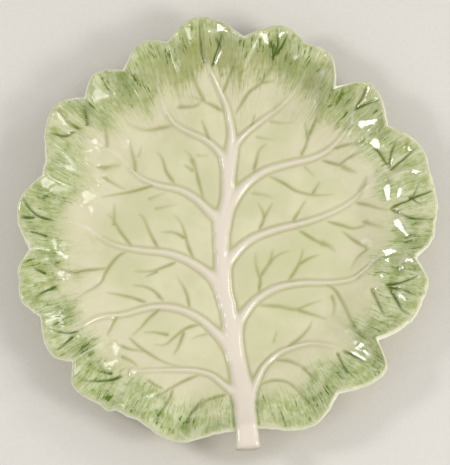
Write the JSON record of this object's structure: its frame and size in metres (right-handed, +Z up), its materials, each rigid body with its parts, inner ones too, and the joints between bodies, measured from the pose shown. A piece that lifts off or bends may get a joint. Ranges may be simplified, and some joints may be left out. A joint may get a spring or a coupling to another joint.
{
  "type": "saucer",
  "caption": "Shallow glazed ceramic saucer shaped as a cabbage leaf, with a ruffled rim, raised ribs and a stalk, standing on a round foot ring.",
  "frame": {"origin": "on the table, under the middle of the saucer's bounding box, which is the centre of the foot ring", "axes": "+Z up, +Y to the tip of the leaf, -Y to the cut stalk, +X to the right seen from above with the stalk near"},
  "size_m": [0.203, 0.2176, 0.029],
  "materials": {
    "leaf_glaze": "glossy pale green glaze, brushed darker green towards the rim",
    "rib_glaze": "glossy cream glaze with a faint pink cast",
    "foot_clay": "pale earthenware, glazed on the sides and wiped bare on the standing edge"
  },
  "bodies": {
    "root": {"leaf_blade": "leaf_glaze", "midrib": "rib_glaze", "side_rib_left_1": "rib_glaze", "side_rib_left_2": "rib_glaze", "side_rib_left_3": "rib_glaze", "side_rib_left_4": "rib_glaze", "side_rib_left_5": "rib_glaze", "side_rib_right_1": "rib_glaze", "side_rib_right_2": "rib_glaze", "side_rib_right_3": "rib_glaze", "side_rib_right_4": "rib_glaze", "side_rib_right_5": "rib_glaze", "foot_ring": "foot_clay"}
  },
  "joints": []
}
